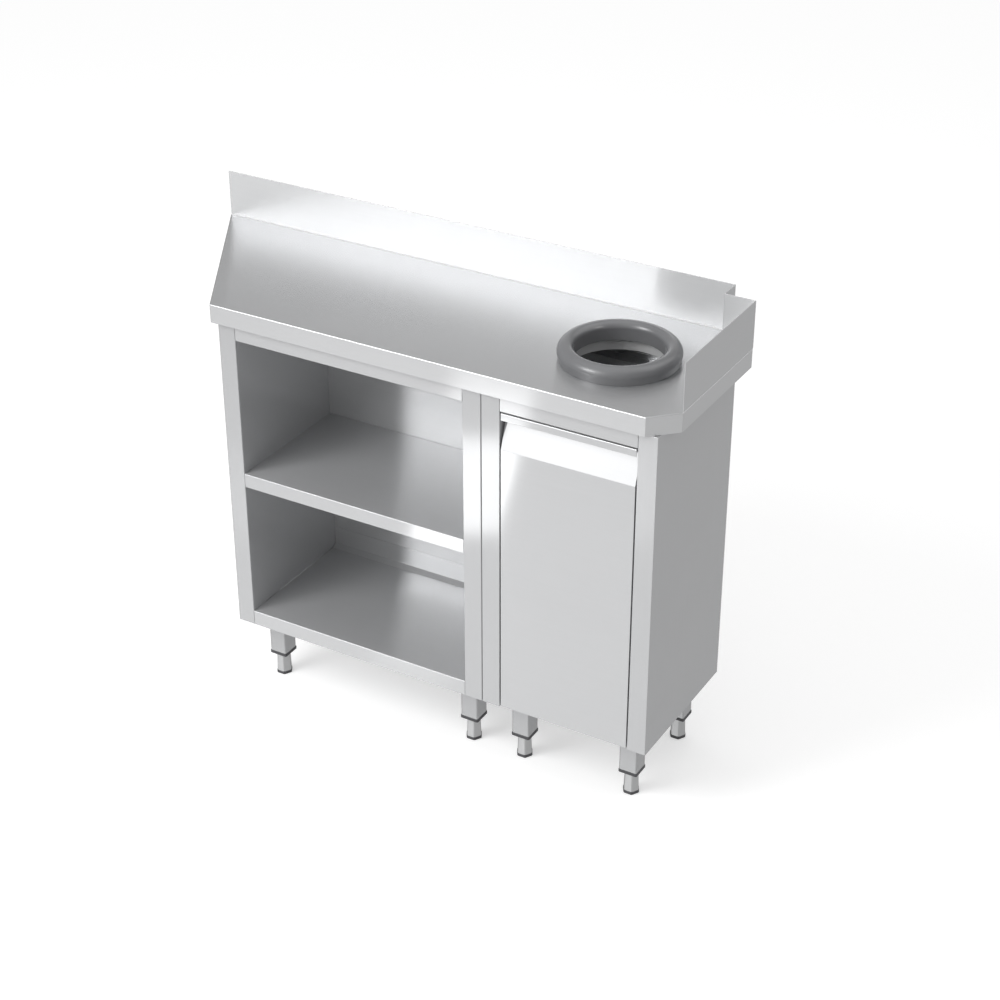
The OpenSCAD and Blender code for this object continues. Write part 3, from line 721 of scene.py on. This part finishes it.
def back_panels():
    """Pans between the walls, open to the rear."""
    for node in ("shelf_back_panel", "waste_back_panel"):
        low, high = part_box(node)
        shape = Shape()
        pan(shape, rectangle(low.x, low.z, high.x, high.z), high.y - low.y, SKIN, 2 * BEND, CORNER,
            lambda x, z, depth: (x, low.y + depth, z))
        piece(node + "_pan", shape, back_x, [node], edge=0)


def top_rails():
    """Channels under the worktop, open towards the middle of the table."""
    half = SKIN / 2
    for node, front in (("shelf_front_rail", True), ("shelf_rear_rail", False), ("waste_front_rail", True),
            ("waste_rear_rail", False)):
        low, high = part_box(node)
        web, edge = (low.y + half, high.y) if front else (high.y - half, low.y)
        bottom, top = low.z + half, high.z - half
        shape = Shape()
        shape.sheet([(edge, top), (web, top), (web, bottom), (edge, bottom)],
            SKIN, BEND, "X", low.x + END_GAP, high.x - END_GAP)
        piece(node + "_channel", shape, sheet_x, [node])


def shelves():
    """A folded shelf, and two decks with a slope and an upturned flange along their backs."""
    half = SKIN / 2
    low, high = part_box("middle_shelf")
    shape = Shape()
    front, rear, deck = low.y + half, high.y - half, high.z - half
    shape.sheet([(front, low.z), (front, deck), (rear, deck), (rear, low.z)],
        SKIN, BEND, "X", low.x + END_GAP, high.x - END_GAP)
    # The deck takes a darker tone than its lips: painted shade
    split_painted_light_by_facing(piece("middle_shelf_sheet", shape, shelf_painted_shade_x, ["middle_shelf"]), sheet_x)
    for node in ("bottom_shelf", "waste_floor"):
        low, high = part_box(node)
        deck = low.z + BOTTOM_LIP
        shape = Shape()
        front, rear = low.y + half, high.y - half
        shape.sheet([(front, low.z), (front, deck - half), (high.y - SKIN - COVE_RUN, deck - half),
            (rear, deck + COVE_RISE - half), (rear, high.z)],
            SKIN, BEND, "X", low.x + END_GAP, high.x - END_GAP)
        shape.plate((low.x, high.y - SKIN, low.z), (high.x, high.y, deck - SKIN))
        # The decks take a darker tone than their lips: painted shade
        split_painted_light_by_facing(piece(node + "_sheet", shape, shelf_painted_shade_x, [node]), sheet_x)


def drawer():
    """Drawer front with its slanted grip and closed ends, the lining behind it, and the tray."""
    half = SKIN / 2
    low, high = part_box("drawer_front")
    knee = high.z - GRIP_H
    shape = Shape()
    face, top = low.y + half, high.z - half
    shape.sheet([(face, low.z + half), (face, knee), (face + GRIP_D, top), (face, top),
        (face, high.z - GRIP_LIP)], SKIN, BEND, "X", low.x, high.x)
    back = low.y + FRONT_T
    slope = GRIP_H / GRIP_D
    side_top = knee + (FRONT_T - SKIN) * slope
    side = [(low.y + SKIN, low.z), (back, low.z), (back, side_top), (low.y + SKIN, knee - half)]
    for x in (low.x, high.x - SKIN):
        shape.prism(side, "X", x, x + SKIN)
    shape.plate((low.x + SKIN, low.y + SKIN, low.z), (high.x - SKIN, back, low.z + SKIN))
    piece("drawer_front_sheet", shape, drawer_x, ["drawer_front"])

    shape = Shape()
    shape.plate(*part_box("drawer_front_lining"))
    piece("drawer_front_lining_sheet", shape, drawer_x, ["drawer_front_lining"])

    low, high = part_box("drawer_tray")
    shape = Shape()
    pan(shape, rectangle(low.x, low.y, high.x, high.y), high.z - low.z, SKIN, 2 * BEND, CORNER,
        lambda x, y, height: (x, y, low.z + height))
    piece("drawer_tray_pan", shape, drawer_x, ["drawer_tray"], edge=0)


def runners():
    """Channels of the runners: a slide's web is on the tray's side, the other webs on the wall's side."""
    half = SKIN / 2
    for side in ("left", "right"):
        for member in ("rail", "middle", "slide"):
            node = f"{side}_runner_{member}"
            low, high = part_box(node)
            web_low = (side == "left") == (member != "slide")
            web, edge = (low.x + half, high.x) if web_low else (high.x - half, low.x)
            bottom, top = low.z + half, high.z - half
            shape = Shape()
            shape.sheet([(edge, bottom), (web, bottom), (web, top), (edge, top)],
                SKIN, BEND, "Y", low.y, high.y)
            piece(node + "_channel", shape, runner_y, [node])


def waste_bin():
    """Tapered bin with a rim that turns down: its outline is lofted up its outside and down its inside."""
    low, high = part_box("waste_bin")
    height = high.z - low.z
    rim_base = height - BIN_RIM_H
    lip = height - BIN_WALL
    start = BIN_RIM + BIN_TAPER + BIN_FOOT
    inner = BIN_RIM + BIN_WALL
    profile = [(start - BIN_FOOT * math.sin(a), BIN_FOOT - BIN_FOOT * math.cos(a))
        for a in quarter(BEND_STEPS)]
    profile += [(BIN_RIM + BIN_SOFT, lip - BIN_LIP_RUN), (BIN_RIM, lip - BIN_LIP_RISE),
        (BIN_WALL + BIN_SOFT, lip), (BIN_WALL, lip - BIN_SOFT), (BIN_WALL, rim_base + SOFT_EDGE),
        (BIN_WALL - SOFT_EDGE, rim_base), (SOFT_EDGE, rim_base), (0.0, rim_base + SOFT_EDGE)]
    profile += [(BIN_WALL - BIN_WALL * math.cos(a), lip + BIN_WALL * math.sin(a))
        for a in quarter(BEND_STEPS)]
    profile += [(inner - BIN_LIP_RUN, height), (inner, height - BIN_LIP_RUN)]
    profile += [(start + BIN_WALL - BIN_FOOT * math.cos(a), BIN_WALL + BIN_FOOT - BIN_FOOT * math.sin(a))
        for a in quarter(BEND_STEPS)]
    points = rectangle(low.x, low.y, high.x, high.y)
    rings = [[(p.x, p.y, low.z + z) for p in outline(points, inset, BIN_CORNER, BIN_CORNER_STEPS)]
        for inset, z in profile]
    shape = Shape()
    shape.loft(rings, cap_first=True, cap_last=True)
    piece("waste_bin_moulding", shape, bin_plastic, ["waste_bin"], edge=0)


def leg_half():
    """Half the width of a leg tube, from the inserts' flanges, which stand proud of it."""
    low, high = loose_boxes("leg_inserts")[0]
    return (high.x - low.x) / 2 - INSERT_OVERHANG


def legs():
    """Square tubes, each with a plate on its top, that stand on their inserts' flanges."""
    insert_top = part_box("leg_inserts")[0].z + INSERT_FLANGE
    half = leg_half()
    for node in ("shelf_module_legs", "waste_module_legs"):
        shape = Shape()
        for low, high in loose_boxes(node):
            centre = (low + high) / 2
            square = rectangle(centre.x - half, centre.y - half, centre.x + half, centre.y + half)
            plate_z = high.z - PLATE_T
            rings = []
            for inset, z in ((0, insert_top), (0, plate_z), (LEG_WALL, plate_z), (LEG_WALL, insert_top)):
                rings.append([(p.x, p.y, z) for p in outline(square, inset, LEG_CORNER, LEG_CORNER_STEPS)])
            shape.loft(rings, closed=True)
            top = rectangle(low.x, low.y, high.x, high.y)
            rings = [[(p.x, p.y, z) for p in outline(top, 0, PLATE_CORNER)] for z in (plate_z, high.z)]
            shape.loft(rings, cap_first=True, cap_last=True)
        piece(node + "_tubes", shape, leg_z, [node], edge=EDGE_BREAK / 2)


def polygon_radius(angle, sides, flats, corner):
    """Distance from a regular polygon's centre to its edge, with a corner on the angle zero."""
    step = 2 * math.pi / sides
    off = (angle % step) - step / 2
    return min(flats / 2 / math.cos(off), corner)


def polygon_ring(centre, z, sides, flats, turn=0.0, soft=HEX_CORNER):
    """Ring of a regular polygon with softened corners."""
    corner = flats / 2 / math.cos(math.pi / sides) - soft
    ring = []
    for a in angles(FOOT_SEGMENTS):
        radius = polygon_radius(a - turn, sides, flats, corner)
        ring.append((centre.x + radius * math.cos(a), centre.y + radius * math.sin(a), z))
    return ring


def circle_ring(centre, z, radius):
    """Ring of as many points as a polygon's, on a circle."""
    return [(centre.x + radius * math.cos(a), centre.y + radius * math.sin(a), z)
        for a in angles(FOOT_SEGMENTS)]


def inserts():
    """Bored plugs in the tubes, with flanges below them."""
    plug = 2 * (leg_half() - LEG_WALL)
    shape = Shape()
    for low, high in loose_boxes("leg_inserts"):
        centre = (low + high) / 2
        wide = high.x - low.x
        flange = low.z + INSERT_FLANGE
        rings = [circle_ring(centre, low.z, BORE_R)]
        for z, width, soft in (
                (low.z, wide - FLANGE_LOW[1], INSERT_CORNER),
                (low.z + FLANGE_LOW[0], wide, INSERT_CORNER),
                (flange - FLANGE_HIGH[0], wide, INSERT_CORNER),
                (flange, wide - FLANGE_HIGH[1], INSERT_CORNER),
                (flange, plug, PLUG_CORNER),
                (high.z - PLUG_LEAD, plug, PLUG_CORNER),
                (high.z, plug - 2 * PLUG_LEAD, PLUG_CORNER)):
            rings.append(polygon_ring(centre, z, 4, width, math.pi / 4, soft))
        rings.append(circle_ring(centre, high.z, BORE_R))
        shape.loft(rings, closed=True)
    piece("leg_inserts_plastic", shape, foot_plastic, ["leg_inserts"], edge=0)


def cone_cut(ring, centre, radius):
    """A ring held inside a circle, as a turned chamfer cuts a hexagon."""
    cut = []
    for x, y, z in ring:
        way = Vector((x - centre.x, y - centre.y))
        way *= min(1.0, radius / way.length)
        cut.append((centre.x + way.x, centre.y + way.y, z))
    return cut


def stud(shape, centre, bottom, top):
    """Threaded stud that narrows over its last turn."""
    rings = []
    count = int((top - bottom) / THREAD_PITCH * THREAD_STEPS)
    for k in range(count + 1):
        ring = []
        for i, a in enumerate(angles(THREAD_SEGMENTS)):
            phase = (k / THREAD_STEPS + i / THREAD_SEGMENTS) % 1.0
            depth = THREAD_DEPTH * abs(2 * phase - 1)
            whole = min(1.0, (count - k) / THREAD_STEPS)
            radius = (STUD_R - depth) * (THREAD_END + (1.0 - THREAD_END) * whole)
            ring.append((centre.x + radius * math.cos(a), centre.y + radius * math.sin(a),
                bottom + (top - bottom) * k / count))
        rings.append(ring)
    shape.loft(rings, cap_first=True, cap_last=True)


def feet():
    """Hexagonal feet with studs, and the pads under them."""
    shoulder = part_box("leg_inserts")[0].z - FOOT_GAP
    over_corners = HEX_TOP / 2 / math.cos(math.pi / HEX_SIDES)
    for number in range(1, FOOT_COUNT + 1):
        node = f"foot_{number}"
        low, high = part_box(node)
        centre = (low + high) / 2
        tall = shoulder - low.z
        shape = Shape()
        rings = []
        for z, cut in HEX_BOTTOM + tuple((tall - down, cut) for down, cut in HEX_SHOULDER):
            flats = HEX_BASE + (HEX_TOP - HEX_BASE) * z / tall
            share = HEX_BASE / HEX_TOP if z < tall / 2 else 1.0
            ring = polygon_ring(centre, low.z + z, HEX_SIDES, flats)
            rings.append(cone_cut(ring, centre, over_corners * cut * share))
        shape.loft(rings, cap_first=True, cap_last=True)
        stud(shape, centre, shoulder, high.z)
        piece(f"foot_{number}_hexagon", shape, foot_z, [node], edge=0)

        node = f"foot_pad_{number}"
        low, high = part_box(node)
        flats = high.y - low.y
        tall = high.z - low.z
        rings = []
        for z, inset in PAD_BOTTOM + tuple((tall - down, inset) for down, inset in PAD_TOP):
            rings.append(polygon_ring(centre, low.z + z, HEX_SIDES, flats - 2 * inset, soft=PAD_CORNER))
        shape = Shape()
        shape.loft(rings, cap_first=True, cap_last=True)
        piece(f"foot_pad_{number}_plastic", shape, foot_plastic, [node], edge=0)


def button_head(shape, radius, height, place, socket=True):
    """Domed head that rises from height 0 of its own space, with a round socket or a flat top."""
    profile = [(radius, 0.0), (radius, height * HEAD_SKIRT)]
    profile += [(radius * math.cos(a), height * (HEAD_SKIRT + (1 - HEAD_SKIRT) * math.sin(a)))
        for a in quarter(HEAD_STEPS)[1:-2]]
    shape.turned(profile, place, HEAD_SEGMENTS, cap_first=True)
    top_radius, top = profile[-1]
    wide = radius * SOCKET_R if socket else top_radius * FLAT_TOP
    inner = [(top_radius, top), (wide, height)]
    if socket:
        inner += [(wide, height * SOCKET_FLOOR), (wide * DRILL_R, height * DRILL_FLOOR)]
    shape.turned(inner, place, HEAD_SEGMENTS, cap_last=True)


def shank(shape, radius, start, end, place):
    """Plain shank between two heights of its own space."""
    shape.turned([(radius, start), (radius, end)], place, SHANK_SEGMENTS, cap_first=True, cap_last=True)


def fasteners():
    """Bolts with nuts between the modules, screws in the top rails and rivets in the drawer's braces."""
    shape = Shape()
    head = BOLT_HEAD
    for low, high in loose_boxes("module_bolts"):
        y = (low.y + high.y) / 2
        z = (low.z + high.z) / 2
        radius = (high.y - low.y) / 2
        flats = radius * 2 * math.cos(math.pi / HEX_SIDES)
        button_head(shape, radius, head, lambda u, v, w: (low.x + head - w, y + u, z + v))
        nut = []
        for w, cut in NUT_SEAT + tuple((head - down, cut) for down, cut in NUT_END):
            ring = []
            for a in angles(FOOT_SEGMENTS):
                reach = polygon_radius(a, HEX_SIDES, flats, radius * cut)
                ring.append((high.x - head + w, y + reach * math.cos(a), z + reach * math.sin(a)))
            nut.append(ring)
        shape.loft(nut, cap_first=True, cap_last=True)
        shank(shape, BOLT_R, low.x + head, high.x - head, lambda u, v, w: (w, y + u, z + v))
    piece("module_bolts_and_nuts", shape, bolt_x, ["module_bolts"], edge=0)

    shape = Shape()
    head = SCREW_HEAD
    for low, high in loose_boxes("stiffener_screws"):
        x = (low.x + high.x) / 2
        y = (low.y + high.y) / 2
        button_head(shape, (high.x - low.x) / 2, head, lambda u, v, w: (x + u, y + v, low.z + head - w))
        shank(shape, SCREW_R, low.z + head, high.z, lambda u, v, w: (x + u, y + v, w))
    piece("stiffener_screws_heads", shape, bolt_x, ["stiffener_screws"], edge=0)

    shape = Shape()
    head = RIVET_HEAD
    tray_x = sum(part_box("drawer_tray"), Vector()).x / 2
    for low, high in loose_boxes("brace_rivets"):
        y = (low.y + high.y) / 2
        z = (low.z + high.z) / 2
        way = 1 if low.x < tray_x else -1
        seat, far = (high.x - head, low.x) if way > 0 else (low.x + head, high.x)
        button_head(shape, (high.y - low.y) / 2, head, lambda u, v, w: (seat + way * w, y + u, z + v),
            socket=False)
        shank(shape, RIVET_R, min(seat, far), max(seat, far), lambda u, v, w: (w, y + u, z + v))
    piece("brace_rivets_heads", shape, bolt_x, ["brace_rivets"], edge=0)


def dress_braces():
    """The braces are flat plates as drawn, so they keep their own meshes."""
    for node in ("drawer_brace_left", "drawer_brace_right"):
        made = frame["nodes"][node]
        made.data.materials.clear()
        made.data.materials.append(drawer_x)


def direction(azimuth, elevation):
    """Unit vector towards a place round the table, in degrees from +X and above the floor."""
    a = math.radians(azimuth)
    e = math.radians(elevation)
    return Vector((math.cos(e) * math.cos(a), math.cos(e) * math.sin(a), math.sin(e)))


# What the steel mirrors: soft lights as (azimuth, elevation, full to, gone at, strength)
SOFT_LIGHTS = [
    (-150, -25, 8, 34, 0.12),
    (-114, -42, 8, 28, 0.48),
    (-110, -52, 10, 35, 0.12),
    (-104, -23, 3, 10, 0.4),
    (62, -30, 15, 45, 0.152),
    (-27, -29, 10, 35, 0.256),
    (-108, 3, 6, 16, 0.92),
    (-120, 27, 10, 30, 1.44),
    (-9, 25, 4, 12, 4.0),
    (-85, 30, 8, 25, 0.216),
    (113, 10, 12, 35, 0.24),
    (40, 35, 15, 45, 0.848),
    (0, 90, 15, 50, 0.48),
]
# What the steel mirrors everywhere, and the world's plain level for diffuse light
MIRROR_BASE = 0.304
FILL_LEVEL = 0.704
WHITE = (1.0, 1.0, 1.0, 1.0)
# The bright panel that shows on the fronts: centre, half sizes and soft edge in degrees, lean, strength
PANEL_AT = (-121.03, -29.6)
PANEL_HALF = (1.15, 1.3)
PANEL_SOFT = 0.15
PANEL_LEAN = 0.28
PANEL_STRENGTH = 3.2


def world():
    """World that is white to the camera, plain to diffuse rays, and holds the soft lights for gloss."""
    made = bpy.data.worlds.new("studio")
    bpy.context.scene.world = made
    made.use_nodes = True
    made.cycles.sampling_method = "NONE"
    tree = made.node_tree
    tree.nodes.clear()
    nodes = Nodes(tree)
    ray = nodes.add("ShaderNodeTexCoord").outputs["Generated"]
    total = None
    for azimuth, elevation, full, gone, strength in SOFT_LIGHTS:
        cosine = nodes.dot(ray, direction(azimuth, elevation))
        edge, core = (math.cos(math.radians(angle)) for angle in (gone, full))
        lobe = nodes.smooth(cosine, edge, core, 0.0, strength)
        total = nodes.math("ADD", total, lobe) if total else nodes.math("ADD", lobe, MIRROR_BASE)
    ahead = direction(*PANEL_AT)
    aside = direction(PANEL_AT[0] + 90, 0)
    above = ahead.cross(aside)
    above *= math.copysign(1.0, above.z)
    across = nodes.dot(ray, aside)
    up = nodes.dot(ray, above)
    leaning = nodes.math("SUBTRACT", across, nodes.math("MULTIPLY", up, PANEL_LEAN))
    soft = math.radians(PANEL_SOFT)
    masks = []
    for value, angle in ((leaning, PANEL_HALF[0]), (up, PANEL_HALF[1])):
        half = math.radians(angle)
        masks.append(nodes.smooth(nodes.math("ABSOLUTE", value), half - soft, half + soft, 1.0, 0.0))
    facing = nodes.math("GREATER_THAN", nodes.dot(ray, ahead), 0.0)
    panel = nodes.math("MULTIPLY", nodes.math("MULTIPLY", masks[0], masks[1]), facing)
    mirrored = nodes.math("ADD", total, nodes.math("MULTIPLY", panel, PANEL_STRENGTH))
    path = nodes.add("ShaderNodeLightPath").outputs
    level = nodes.add("ShaderNodeMix", {0: path["Is Glossy Ray"], 2: FILL_LEVEL, 3: mirrored}).outputs[0]
    seen = nodes.add("ShaderNodeMix", {0: path["Is Camera Ray"], 2: level, 3: 1.0}).outputs[0]
    background = nodes.add("ShaderNodeBackground", {"Strength": seen})
    background.inputs["Color"].default_value = WHITE
    out = nodes.add("ShaderNodeOutputWorld")
    tree.links.new(background.outputs[0], out.inputs[0])


def floor():
    """Dull floor that is lifted to white for the camera and keeps the table's shadow."""
    shape = Shape()
    corners = rectangle(-FLOOR_REACH, -FLOOR_REACH, FLOOR_REACH, FLOOR_REACH)
    shape.add([(x, y, 0) for x, y in corners], [(0, 1, 2, 3)])
    mesh = bpy.data.meshes.new("floor")
    mesh.from_pydata(shape.verts, [], shape.faces)
    made = bpy.data.objects.new("floor", mesh)
    bpy.context.scene.collection.objects.link(made)
    material, nodes, shader = new_material("pale_floor")
    shader.inputs["Base Color"].default_value = (FLOOR_TONE, FLOOR_TONE, FLOOR_TONE, 1.0)
    shader.inputs["Roughness"].default_value = FLOOR_ROUGHNESS
    shader.inputs["Specular IOR Level"].default_value = 0.0
    path = nodes.add("ShaderNodeLightPath")
    share = nodes.math("MULTIPLY", path.outputs["Is Camera Ray"], FLOOR_WHITE)
    plain = nodes.add("ShaderNodeEmission", {"Strength": share})
    mixed = nodes.add("ShaderNodeAddShader", {0: shader.outputs[0], 1: plain.outputs[0]})
    out = next(n for n in nodes.tree.nodes if n.type == "OUTPUT_MATERIAL")
    nodes.tree.links.new(mixed.outputs[0], out.inputs[0])
    mesh.materials.append(material)
    made.visible_glossy = False


# Lamps as (name, azimuth, elevation, distance, size, watts)
LAMPS = [
    ("key", -122, 40, 3.2, 1.8, 66.0),
    ("overhead", 30, 80, 3.0, 2.2, 8.0),
]
# Where the lamps point to
AIM = Vector((0.0, 0.0, 0.45))


def lamps():
    """Round lamps that light the table but don't show in it."""
    for name, azimuth, elevation, distance, size, watts in LAMPS:
        data = bpy.data.lights.new(name, "AREA")
        data.shape = "DISK"
        data.size = size
        data.energy = watts
        made = bpy.data.objects.new(name, data)
        bpy.context.scene.collection.objects.link(made)
        way = direction(azimuth, elevation)
        made.location = AIM + way * distance
        made.rotation_euler = way.to_track_quat("Z", "Y").to_euler()
        made.visible_glossy = False


# The widest bright reflection comes from a far lamp that only gloss meets, which keeps it free of grain
GLOSS_LAMP_AT = (-121, 26)
GLOSS_LAMP_ANGLE = 21.0
GLOSS_LAMP_POWER = 0.536


def gloss_lamp():
    """Far lamp, wide as seen from the table, that lights no diffuse surface."""
    data = bpy.data.lights.new("gloss", "SUN")
    data.angle = math.radians(GLOSS_LAMP_ANGLE)
    data.energy = GLOSS_LAMP_POWER
    made = bpy.data.objects.new("gloss", data)
    bpy.context.scene.collection.objects.link(made)
    way = direction(*GLOSS_LAMP_AT)
    made.location = AIM + way
    made.rotation_euler = way.to_track_quat("Z", "Y").to_euler()
    made.visible_diffuse = False


def camera():
    """Camera before the table's right front corner and above it."""
    data = bpy.data.cameras.new("camera")
    data.sensor_width = SENSOR
    data.lens = FOCAL_LENGTH
    made = bpy.data.objects.new("camera", data)
    made.location = CAMERA_AT
    made.rotation_euler = (math.radians(CAMERA_TILT), 0.0, math.radians(CAMERA_TURN))
    bpy.context.scene.collection.objects.link(made)
    bpy.context.scene.camera = made


worktop()
upstands()
stiffeners()
chute()
side_walls()
back_panels()
top_rails()
shelves()
drawer()
runners()
waste_bin()
legs()
inserts()
feet()
fasteners()
dress_braces()
world()
floor()
lamps()
gloss_lamp()
camera()
bpy.context.scene.view_settings.view_transform = "Standard"
